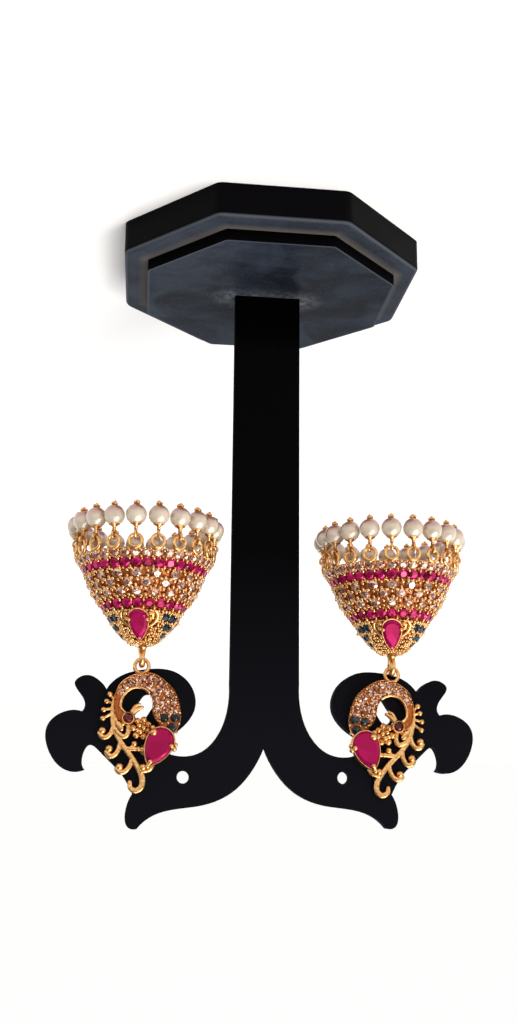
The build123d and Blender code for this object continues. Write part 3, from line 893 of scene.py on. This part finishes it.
def buildStud(side):
    def piece(name, bag, *finish, **options):
        if side == "left":
            toLeft(bag)
        makePiece(side, "stand", name, bag, *finish, **options)

    piece("stud_scrolls", buildScrolls(), goldWire, "gold")
    # the crescent's low floor takes the recess finish, painted darker as shade
    piece("stud_crescent", buildCrescent(), goldPlate, "gold", replaced=["stud_frame"], recess=goldFloor,
          isRecess=isDullShadedFloor)
    paveStones, paveBeads = buildPave()
    piece("stud_pave_stones", paveStones, paveGlass, None, None)
    piece("stud_pave_beads", paveBeads, goldPlate, "gold")
    piece("stud_rosette", buildRosette(), goldPlate, "gold")
    piece("stud_eye_cup", buildEyeCup(), goldPlate, "gold")
    piece("stud_ruby_collar", buildRubyCollar(), goldWire, "gold")
    piece("stud_hanging_ring", buildHangingRing(), goldWire, "gold")
    rubyStone, eyeStone, sapphireStones, clawBalls = newBag(), newBag(), newBag(), newBag()
    ruby, eye, sapphires, claws = stud["ruby"], stud["eye"], stud["sapphires"], stud["sapphireClaws"]
    addPearStone(rubyStone, studPlace(*ruby["centre"], 0, ruby["lean"]), ruby["size"], ruby["crown"],
                 ruby["lift"], ruby["table"])
    piece("stud_ruby_stone", rubyStone, rubyGlass, "ruby", None, ["stud_ruby"])
    addRoundStone(eyeStone, studPlace(*eye["centre"], eye["height"]), eye["radius"], eye["lean"])
    piece("stud_eye_stone", eyeStone, garnetGlass, "garnet", None, ["stud_eye"])
    for centre in sapphires["centres"]:
        addRoundStone(sapphireStones, studPlace(*centre, sapphires["height"]), sapphires["radius"],
                      sapphires["lean"])
    piece("stud_sapphire_stones", sapphireStones, sapphireGlass, "sapphire", None, ["stud_sapphires"])
    for x, z in claws["centres"]:
        addBall(clawBalls, (x, stud["back"] - claws["height"], z), claws["radius"])
    piece("stud_sapphire_claws", clawBalls, goldPlate, "gold")
    piece("post_shaft", buildPost(), goldWire, "gold", replaced=["ear_post"])
    piece("post_nut", buildNut(), goldPlate, "gold")


for side in ("left", "right"):
    buildStud(side)
print("studs made")


# The bells are drawn round their hanging points: z is 0 there and falls to the rim
bell = {
    # rows of radius, z down the outside
    "rows": [(0.9, -2.35), (1.9, -2.75), (3.0, -3.4), (4.1, -4.35), (5.15, -5.4), (6.25, -6.7), (7.15, -8.1),
             (8.1, -9.7), (9.2, -11.2), (10.3, -12.7), (11.3, -14.5), (12.1, -16.6), (12.9, -18.4),
             (13.8, -19.6), (14.1, -20.2)],
    "inset": 0.62, "wall": 1.25, "hollowFrom": 3.0, "top": -2.3, "ceiling": -3.9,
    "rimWire": {"circle": 13.75, "radius": 0.26, "level": -20.12},
    "turn": {"left": 10.6, "right": 8.0},
    "loop": {"radius": 1.25, "wire": 0.68, "level": -0.15},
    "stem": [(nearAxis, -3.6), (3.1, -3.45), (2.3, -2.95), (1.5, -2.68), (1.02, -2.45), (0.84, -2.15),
             (0.8, -1.3), (0.7, -1.1), (nearAxis, -1.05)],
}
profile = smoothRows(bell["rows"], steps=8)
third = 120  # degrees from one pear to the next, with a blue panel midway


def bellRadius(z):
    return float(np.interp(-z, -profile[:, 1], profile[:, 0]))


def bellAxes(angle):
    # Out from the bell and across it, at an angle in degrees from the front towards +X
    turn = math.radians(angle)
    return np.array([math.sin(turn), -math.cos(turn), 0]), np.array([math.cos(turn), math.sin(turn), 0])


def bellSpot(angle, z, lift=0.0, reach=0.3):
    # A spot on the bell with local axes across, up and out; its slope is taken over that reach
    slope = (bellRadius(z + reach) - bellRadius(z - reach)) / (2 * reach)
    out, across = bellAxes(angle)
    normal = unit(out + np.array([0, 0, -slope]))
    point = out * bellRadius(z) + np.array([0, 0, z]) + normal * lift
    return placeAt(point, across, np.cross(normal, across))


def bellRow(z, count, turn=0.0, lift=0.0):
    # Even spots round the bell at one height, turned by a share of a step
    return [bellSpot(360 * (number + turn) / count, z, lift) for number in range(count)]


def buildShell():
    bag = newBag()
    outside, inside = [], []
    for index, point in enumerate(profile):
        a, b = profile[max(index - 1, 0)], profile[min(index + 1, len(profile) - 1)]
        normal = unit((a[1] - b[1], b[0] - a[0]))
        outside.append(point - normal * bell["inset"] * min(1, point[0] / bell["hollowFrom"]))
        if point[0] > bell["hollowFrom"]:
            inside.append(point - normal * bell["wall"])
    rows = [(nearAxis, bell["top"])] + outside + inside[::-1] + [(nearAxis, bell["ceiling"])]
    addTurned(bag, rows, sides=96)
    wire = bell["rimWire"]
    addRing(bag, (0, 0, wire["level"]), alongZ, wire["circle"], wire["radius"], sides=96, section=12)
    return bag


def isShellOutside(face):
    return face.normal.x * face.center.x + face.normal.y * face.center.y > 0


def buildHanger():
    bag = newBag()
    loop = bell["loop"]
    addRing(bag, (0, 0, loop["level"]), alongX, loop["radius"], loop["wire"], sides=36, section=14)
    addTurned(bag, bell["stem"], sides=28)
    return bag


pear = {
    "place": (5.82, -6.36), "normal": 39.0, "size": (3.9, 7.4), "crown": 0.42, "lift": 0.5,
    "sunk": -0.6,  # only the front one stands proud of the crown
    "collar": [(-0.3, -1.2), (0.24, -1.2), (0.26, 0.0), (0.23, 0.28), (0.15, 0.42), (0.07, 0.42),
               (0.01, 0.32), (0.0, 0.1), (-0.8, 0.0)],
    # balls of across, up, height, radius
    "claws": [(-1.85, -1.6, 0.75, 0.42), (1.85, -1.6, 0.75, 0.42), (-2.4, -1.5, 0.1, 0.42),
              (2.4, -1.5, 0.1, 0.42), (0, 2.85, 0.6, 0.3), (0, 3.55, 0.15, 0.34),
              (-2.45, -2.55, -0.1, 0.46), (2.45, -2.55, -0.1, 0.46)],
}


def pearPlace(number):
    out, across = bellAxes(third * number)
    tilt = math.radians(pear["normal"])
    normal = out * math.cos(tilt) + np.array([0, 0, math.sin(tilt)])
    radius, level = pear["place"]
    origin = out * radius + np.array([0, 0, level]) + normal * (pear["sunk"] if number else 0)
    return placeAt(origin, across, np.cross(normal, across))


def buildPears():
    collars, stones = newBag(), newBag()
    for number in range(3):
        place = pearPlace(number)
        addPearCollar(collars, place, pear["size"], pear["collar"])
        for *centre, radius in pear["claws"]:
            addBall(collars, centre, radius, place=place, fine=True)
        addPearStone(stones, place, pear["size"], pear["crown"], pear["lift"])
    return collars, stones


# Leaf-shaped panels of blue stones between the pears
panel = {
    "angles": (60, 180, 300), "rows": [(-4.75, 1), (-6.05, 2), (-7.8, 3)], "pitch": 1.9, "stone": 0.94,
    "stoneLift": -0.1, "stoneLean": 8.0,
    # the two front panels lean away from the front, by these angles at these depths
    "leans": ([4.0, 4.75, 6.05, 7.8, 9.0], [12, 16, 9, 3, 0]),
    "clear": ([3.2, 4.0, 6.0, 9.2], [3, 11, 17, 23]),  # half angles without granules, at these depths
    "frame": 0.4, "frameDepth": 0.9, "sunk": -0.12,
    "edge": [(0, -3.5), (9, -4.1), (14, -5.3), (19, -7.0), (22, -8.7)],  # half angle, z
    "gapBead": {"radius": 0.24, "aside": 0.75, "height": 0.02},
    "beadLines": [(-5.4, 9), (-6.95, 14), (-8.75, 20)], "lineBead": 0.26, "linePitch": 0.62,
    # curled leaves beside each pear: flatness, then rows of angle, z, width
    "leaves": [(0.8, [(20, -5.9, 0.35), (29, -6.6, 0.75), (33, -7.8, 0.95), (29, -8.8, 0.75),
                      (21, -9.0, 0.4)]),
               (0.7, [(17, -8.9, 0.5), (23, -8.3, 0.9), (25, -7.5, 0.6)])],
}


def panelMiddle(middle, z):
    side = (middle == panel["angles"][0]) - (middle == panel["angles"][-1])
    return middle + side * float(np.interp(-z, *panel["leans"]))


def panelAngles(middle, z, count):
    # Angles of that many stones, or of the gaps beside them, across a panel
    step = math.degrees(panel["pitch"] / bellRadius(z))
    return [panelMiddle(middle, z) + step * (number - (count - 1) / 2) for number in range(count)]


def bellWire(bag, rows, **options):
    # Wire laid on the bell from rows of angle, z, width
    path = smoothRows(rows)
    spots = [bellSpot(angle, z, panel["sunk"]) for angle, z in path[:, :2]]
    centres = [(*spot[:3, 3], row[2]) for spot, row in zip(spots, path)]
    addWire(bag, centres, outward=np.array([spot[:3, 2] for spot in spots]), steps=1, **options)


def buildPanels():
    bag = newBag()
    for middle in panel["angles"]:
        for side in (-1, 1):
            bellWire(bag, [(panelMiddle(middle, z) + side * turn, z, panel["frame"])
                           for turn, z in panel["edge"]], depth=panel["frameDepth"])
        for z, count in panel["rows"]:
            for angle in panelAngles(middle, z, count + 1):
                addPair(bag, bellSpot(angle, z), **panel["gapBead"])
        for z, half in panel["beadLines"]:
            count = int(2 * half * math.radians(bellRadius(z)) / panel["linePitch"])
            for number in range(count + 1):
                angle = panelMiddle(middle, z) - half + 2 * half * number / count
                addBall(bag, (0, 0, 0), panel["lineBead"], place=bellSpot(angle, z))
    for number in range(3):
        for side in (-1, 1):
            for flatness, rows in panel["leaves"]:
                bellWire(bag, [(third * number + side * turn, z, width) for turn, z, width in rows],
                         depth=flatness)
    return bag


def buildPanelStones():
    bag = newBag()
    for middle in panel["angles"]:
        for z, count in panel["rows"]:
            for angle in panelAngles(middle, z, count):
                addRoundStone(bag, bellSpot(angle, z, panel["stoneLift"]), panel["stone"], panel["stoneLean"])
    return bag


# Rows of stones round the bell: z, count, turn in steps, stone radius
rubyRows = [(-10.3, 23, 0.0, 1.14), (-17.85, 34, 0.0, 1.16)]
crystalRows = [(-12.4, 18, 0.0, 1.08), (-14.1, 18, 0.5, 1.1), (-15.8, 18, 0.0, 1.12), (-19.5, 38, 0.0, 1.02)]
# Beaded lines between them: z, count, turn in steps, bead radius, lift
beadLines = [(-9.0, 56, 0.0, 0.36, -0.05), (-11.35, 48, 0.5, 0.27, -0.05), (-16.8, 64, 0.25, 0.27, -0.05),
             (-18.75, 64, 0.25, 0.24, -0.08), (-20.3, 80, 0.25, 0.32, 0.0)]
setting = {
    "rubyLift": -0.12, "crystalLift": -0.1, "stoneSize": (0.96, 1.0), "lean": 6.0, "lineSize": (0.92, 1.06),
    # a low cup under each clear stone: rows of width beyond the stone, height
    "seat": [(0.02, -0.6), (0.08, -0.05), (0.02, 0.03), (-0.03, -0.05)], "seatFloor": -0.35,
    "seatLift": -0.08,
    "rubyClaw": {"radius": 0.34, "squash": (0.8, 1.5, 1), "aside": 0.8, "height": 0.12},
    "crystalClaw": {"radius": (0.3, 0.38), "aside": 0.8, "height": 0.1},
    "between": {"radius": (0.36, 0.48), "aside": 0.58, "wander": (0.25, 0.14), "height": -0.12},
    "rimClaw": {"radius": 0.27, "aside": 0.62, "height": 0.06},
}


def buildBellStones(rows, lift):
    bag = newBag()
    for z, count, turn, radius in rows:
        for spot in bellRow(z, count, turn, lift):
            addRoundStone(bag, spot, radius * chance.uniform(*setting["stoneSize"]), setting["lean"])
    return bag


def buildSeats():
    bag = newBag()
    for z, count, turn, radius in crystalRows:
        seat = [(radius + beyond, height) for beyond, height in setting["seat"]]
        rows = [(nearAxis, seat[0][1])] + seat + [(nearAxis, setting["seatFloor"])]
        for spot in bellRow(z, count, turn, setting["seatLift"]):
            addTurned(bag, rows, sides=14, place=spot)
    return bag


def buildBeads():
    # Claw beads round the stones and the beaded lines between the rows
    bag = newBag()
    claw = setting["rubyClaw"]
    for z, count, turn, radius in rubyRows:
        for spot in bellRow(z, count, turn + 0.5):
            addPair(bag, spot, **{**claw, "aside": radius * claw["aside"]})
    claw, between = setting["crystalClaw"], setting["between"]
    for z, count, turn, radius in crystalRows[:-1]:
        aside = radius * claw["aside"]
        for spot, gap in zip(bellRow(z, count, turn), bellRow(z, count, turn + 0.5)):
            for x, y in [(-1, -1), (-1, 1), (1, -1), (1, 1)]:
                addBall(bag, (x * aside, y * aside, claw["height"]), chance.uniform(*claw["radius"]),
                        place=spot)
            for side in (-1, 1):
                x, y = [chance.uniform(-wander, wander) for wander in between["wander"]]
                addBall(bag, (x, side * between["aside"] + y, between["height"]),
                        chance.uniform(*between["radius"]), place=gap)
    z, count, turn, radius = crystalRows[-1]
    for spot in bellRow(z, count, turn + 0.5):
        addPair(bag, spot, **setting["rimClaw"])
    for z, count, turn, radius, lift in beadLines:
        for spot in bellRow(z, count, turn, lift):
            addBall(bag, (0, 0, 0), radius * chance.uniform(*setting["lineSize"]), place=spot)
    return bag


granules = {"top": -3.0, "bottom": -8.9, "rowStep": 0.46, "pitch": 0.6, "radius": (0.26, 0.42),
            "turnWander": 2.4, "zWander": 0.14, "lift": (-0.22, 0.02), "pearMargin": 0.45, "pearDepth": -3,
            "leavesFrom": -6.0, "leavesHalf": 34}  # the curled leaves beside a pear fill this half angle


def buildGranules():
    # Fine granulation over the crown, clear of the pears, the curled leaves and the blue panels
    bag = newBag()
    values = granules
    pears = [np.linalg.inv(pearPlace(number)) for number in range(3)]
    for row, z in enumerate(np.arange(values["top"], values["bottom"], -values["rowStep"])):
        count = int(2 * math.pi * bellRadius(z) / values["pitch"])
        for number in range(count):
            wander = chance.uniform(-values["turnWander"], values["turnWander"])
            angle = 360 * (number + 0.5 * (row % 2)) / count + wander
            fromPear = abs((angle + third / 2) % third - third / 2)
            fromPanel = min(abs((angle - panelMiddle(middle, z) + 180) % 360 - 180)
                            for middle in panel["angles"])
            if fromPanel < np.interp(-z, *panel["clear"]):
                continue
            if z < values["leavesFrom"] and fromPear < values["leavesHalf"]:
                continue
            height = z + chance.uniform(-values["zWander"], values["zWander"])
            spot = bellSpot(angle, height, chance.uniform(*values["lift"]))
            local = [(matrix @ np.append(spot[:3, 3], 1))[:3] for matrix in pears]
            if any(insidePear(pear["size"], values["pearMargin"], x, y) and out > values["pearDepth"]
                   for x, y, out in local):
                continue
            addBall(bag, (0, 0, 0), chance.uniform(*values["radius"]), place=spot)
    return bag


rimRing = {"count": 20, "circle": 14.35, "radius": 1.28, "wire": 0.38, "level": -21.8,
           "joint": {"in": 0.05, "above": 1.4, "radius": 0.42}}
pin = {
    "loop": 0.75, "wire": 0.27, "level": -23.14, "pearl": 2.1, "drop": -27.15, "overlap": 0.1, "tail": 0.3,
    "coil": {"turns": 2, "below": 0.16, "pitch": 0.3, "radius": 0.27, "wire": 0.15},
    # the cap over each pearl: rows of radius, height from the pearl's top
    "cap": [(nearAxis, 0.46), (0.36, 0.44), (0.5, 0.2), (0.86, -0.02), (1.08, -0.22), (1.04, -0.28),
            (0.75, -0.16), (nearAxis, -0.02)],
    "capBeads": {"count": 8, "circle": 1.0, "below": 0.2, "radius": 0.17},
    "tipBeads": {"count": 4, "circle": 0.42, "below": (0.12, 0.3), "radius": (0.32, 0.44), "wander": 1.2},
    "endBead": {"below": 0.55, "radius": 0.36},
}


def aroundBell(number, *point):
    turn = 2 * math.pi * number / rimRing["count"]
    x, y, z = point
    return (x * math.cos(turn) - y * math.sin(turn), x * math.sin(turn) + y * math.cos(turn), z)


def buildRimRings():
    bag = newBag()
    joint = rimRing["joint"]
    for number in range(rimRing["count"]):
        addRing(bag, aroundBell(number, 0, -rimRing["circle"], rimRing["level"]),
                aroundBell(number, *alongY), rimRing["radius"], rimRing["wire"], sides=32, section=12)
        at = aroundBell(number, 0, joint["in"] - rimRing["circle"], rimRing["level"] + joint["above"])
        addBall(bag, at, joint["radius"])
    return bag


def buildPins():
    bag = newBag()
    coil, capBeads, tipBeads, endBead = pin["coil"], pin["capBeads"], pin["tipBeads"], pin["endBead"]
    top, low = pin["drop"] + pin["pearl"], pin["drop"] - pin["pearl"]
    loopFoot = pin["level"] - pin["loop"]

    def addShank(foot, head, spot):
        rows = [(nearAxis, foot), (pin["wire"], foot), (pin["wire"], head), (nearAxis, head)]
        addTurned(bag, rows, sides=10, place=spot)

    for number in range(rimRing["count"]):
        middle = (number, 0, -rimRing["circle"])
        across = aroundBell(number, *alongX)
        spot = placeAt(aroundBell(*middle, 0), across, aroundBell(number, *alongY))
        addRing(bag, aroundBell(*middle, pin["level"]), across, pin["loop"], pin["wire"], sides=24,
                section=8)
        addShank(top - pin["overlap"], loopFoot, spot)
        for turn in range(coil["turns"]):
            level = loopFoot - coil["below"] - coil["pitch"] * turn
            addRing(bag, aroundBell(*middle, level), alongZ, coil["radius"], coil["wire"], sides=12,
                    section=6)
        addTurned(bag, [(radius, top + height) for radius, height in pin["cap"]], sides=18, place=spot)
        for turn in evenAngles(capBeads["count"]):
            addBall(bag, (capBeads["circle"] * math.cos(turn), capBeads["circle"] * math.sin(turn),
                          top - capBeads["below"]), capBeads["radius"], place=spot)
        addShank(low - pin["tail"], low + pin["tail"], spot)
        for turn in evenAngles(tipBeads["count"]):
            turn += chance.uniform(0, tipBeads["wander"])
            radius = chance.uniform(*tipBeads["radius"])
            addBall(bag, (tipBeads["circle"] * math.cos(turn), tipBeads["circle"] * math.sin(turn),
                          low - chance.uniform(*tipBeads["below"])), radius, place=spot)
        addBall(bag, (0, 0, low - endBead["below"]), endBead["radius"], place=spot)
    return bag


def buildBell(side):
    joint = [j for j in frame["joints"] if j["name"] == f"{side}_bell_swing"][0]
    hang = Matrix.Translation(Vector(joint["pos_m"]))
    place = hang @ Matrix.Rotation(math.radians(bell["turn"][side]), 4, "Z")
    piece = partial(makePiece, side, f"bell_{side}", place=place)
    # the shell's outside and the seats take the floor finish, painted darker as shade between the stones and
    # beads
    piece("bell_shell", buildShell(), goldPlate, "gold", replaced=["bell_dome"], recess=bellFloor,
          isRecess=isShellOutside)
    piece("bell_hanger", buildHanger(), goldWire, "gold", place=hang)
    piece("bell_seats", buildSeats(), bellFloor, "gold")
    piece("bell_beads", buildBeads(), goldPlate, "gold")
    piece("bell_granules", buildGranules(), goldPlate, "gold")
    piece("bell_leaf_panels", buildPanels(), goldPlate, "gold")
    piece("bell_ruby_rows", buildBellStones(rubyRows, setting["rubyLift"]), smallRubyGlass, "ruby", None)
    piece("bell_crystals", buildBellStones(crystalRows, setting["crystalLift"]), crystalGlass, None, None)
    piece("bell_sapphires", buildPanelStones(), sapphireGlass, "sapphire", None)
    pearCollars, pearStones = buildPears()
    piece("bell_pear_collars", pearCollars, goldWire, "gold")
    piece("bell_pear_stones", pearStones, rubyGlass, "ruby", None, ["bell_rubies"])
    piece("bell_rim_rings", buildRimRings(), goldWire, "gold")
    piece("pearl_pin_wires", buildPins(), goldWire, "gold", replaced=["pearl_pins"])


for side in ("left", "right"):
    buildBell(side)
print("bells made")


# Metres here, but millimetres for the paper's grain and relief and for the lens and its sensor
studio = {
    "paper": {"half": 4.0, "tone": "fdfcfa", "grain": 1.5, "rough": (0.75, 0.9), "bump": 0.03,
              "strength": 0.3},
    # tones by height, from level to straight up: behind the stand, and in front of it where cards shade it
    "behind": [(0.0, "fefefd"), (0.3, "fefefe"), (0.6, "b0b2b6"), (1.0, "8a8c90")],
    "front": [(0.0, "fefefd"), (0.1, "d8d8d8"), (0.24, "8c8884"), (0.5, "5a5652"), (1.0, "6c6a68")],
    "frontToBehind": (-0.25, 0.35),
    # name, place, aim, width and height, watts, tone
    "lamps": [("keySoftbox", (-0.42, -0.52, 0.6), (0, 0, 0.09), (0.24, 0.24), 2.2, "fff6ee"),
              ("backSoftbox", (0.1, 0.6, 0.6), (0, 0, 0.06), (0.5, 0.3), 1.5, "ffffff")],
    # broad even light, so that the floor is as pale far off as it is near
    "sun": {"from": (-0.4, -0.35, 1.0), "strength": 2.6, "spread": 60},
    # a little above the bells, looking down and left; angles in degrees
    "camera": {"at": (0.0248, -0.2328, 0.1197), "yaw": 7.48, "pitch": -13.07, "roll": 180.16, "lens": 39.1,
               "sensor": 36.0, "shift": (-0.0328, 0.0254), "clip": (0.005, 20.0)},
}


def makeFloor():
    # Seamless pale paper under the stand
    paper = studio["paper"]
    colour = hexColour(paper["tone"])
    material, add, shader, place = startMaterial("seamlessPaper", {"Base Color": colour})
    grain = add("TexNoise", {"Vector": place, "Scale": perMm(paper["grain"]), "Detail": 4.0})
    add("MapRange", {"Value": grain, **ends("To", paper["rough"])}, shader["Roughness"])
    add("Bump", {"Height": grain, "Distance": paper["bump"] * mm, "Strength": paper["strength"]},
            shader["Normal"])
    mesh = bpy.data.meshes.new("floor")
    half = paper["half"]
    mesh.from_pydata([(-half, -half, 0), (half, -half, 0), (half, half, 0), (-half, half, 0)], [],
                     [(0, 1, 2, 3)])
    mesh.materials.append(material)
    floor = addObject("floor", mesh)


def makeWorld():
    # Pale all round near the floor, darker higher up in front, so that the gold has something to mirror
    world = bpy.data.worlds.new("studio")
    bpy.context.scene.world = world
    world.use_nodes = True
    tree = world.node_tree
    add = partial(addNode, tree)
    axes = add("SeparateXYZ", {"Vector": add("TexCoord").outputs["Generated"]}).outputs
    behind, front = [add("ValToRGB", {"Fac": axes["Z"]}, stops=studio[way])
                     for way in ("behind", "front")]
    share = add("MapRange", {"Value": axes["Y"], **ends("From", studio["frontToBehind"])})
    add("Mix", {"Factor": share, "A": front, "B": behind}, tree.nodes["Background"].inputs["Color"],
            data_type="RGBA")


def makeLamps():
    for name, at, aim, size, power, tone in studio["lamps"]:
        data = bpy.data.lights.new(name, "AREA")
        data.shape, data.size, data.size_y = "RECTANGLE", size[0], size[1]
        data.energy, data.color = power, hexColour(tone)[:3]
        lamp = addObject(name, data)
        lamp.location = at
        lamp.rotation_euler = (Vector(aim) - Vector(at)).to_track_quat("-Z", "Y").to_euler()
    sun = studio["sun"]
    data = bpy.data.lights.new("roomLight", "SUN")
    data.energy, data.angle = sun["strength"], math.radians(sun["spread"])
    addObject("roomLight", data).rotation_euler = Vector(sun["from"]).to_track_quat("Z", "Y").to_euler()


def makeCamera():
    values = studio["camera"]
    data = bpy.data.cameras.new("camera")
    data.lens, data.sensor_width, data.sensor_fit = values["lens"], values["sensor"], "AUTO"
    data.shift_x, data.shift_y = values["shift"]
    data.clip_start, data.clip_end = values["clip"]
    camera = addObject("camera", data)
    turn = Matrix.Rotation(math.radians(values["yaw"]), 4, "Z")
    tilt = Matrix.Rotation(math.radians(90 + values["pitch"]), 4, "X")
    roll = Matrix.Rotation(math.radians(values["roll"]), 4, "Z")
    camera.matrix_world = Matrix.Translation(Vector(values["at"])) @ turn @ tilt @ roll
    bpy.context.scene.camera = camera


makeFloor()
makeWorld()
makeLamps()
makeCamera()
bpy.context.scene.view_settings.view_transform = "Standard"
print("studio made")

bpy.context.view_layer.update()
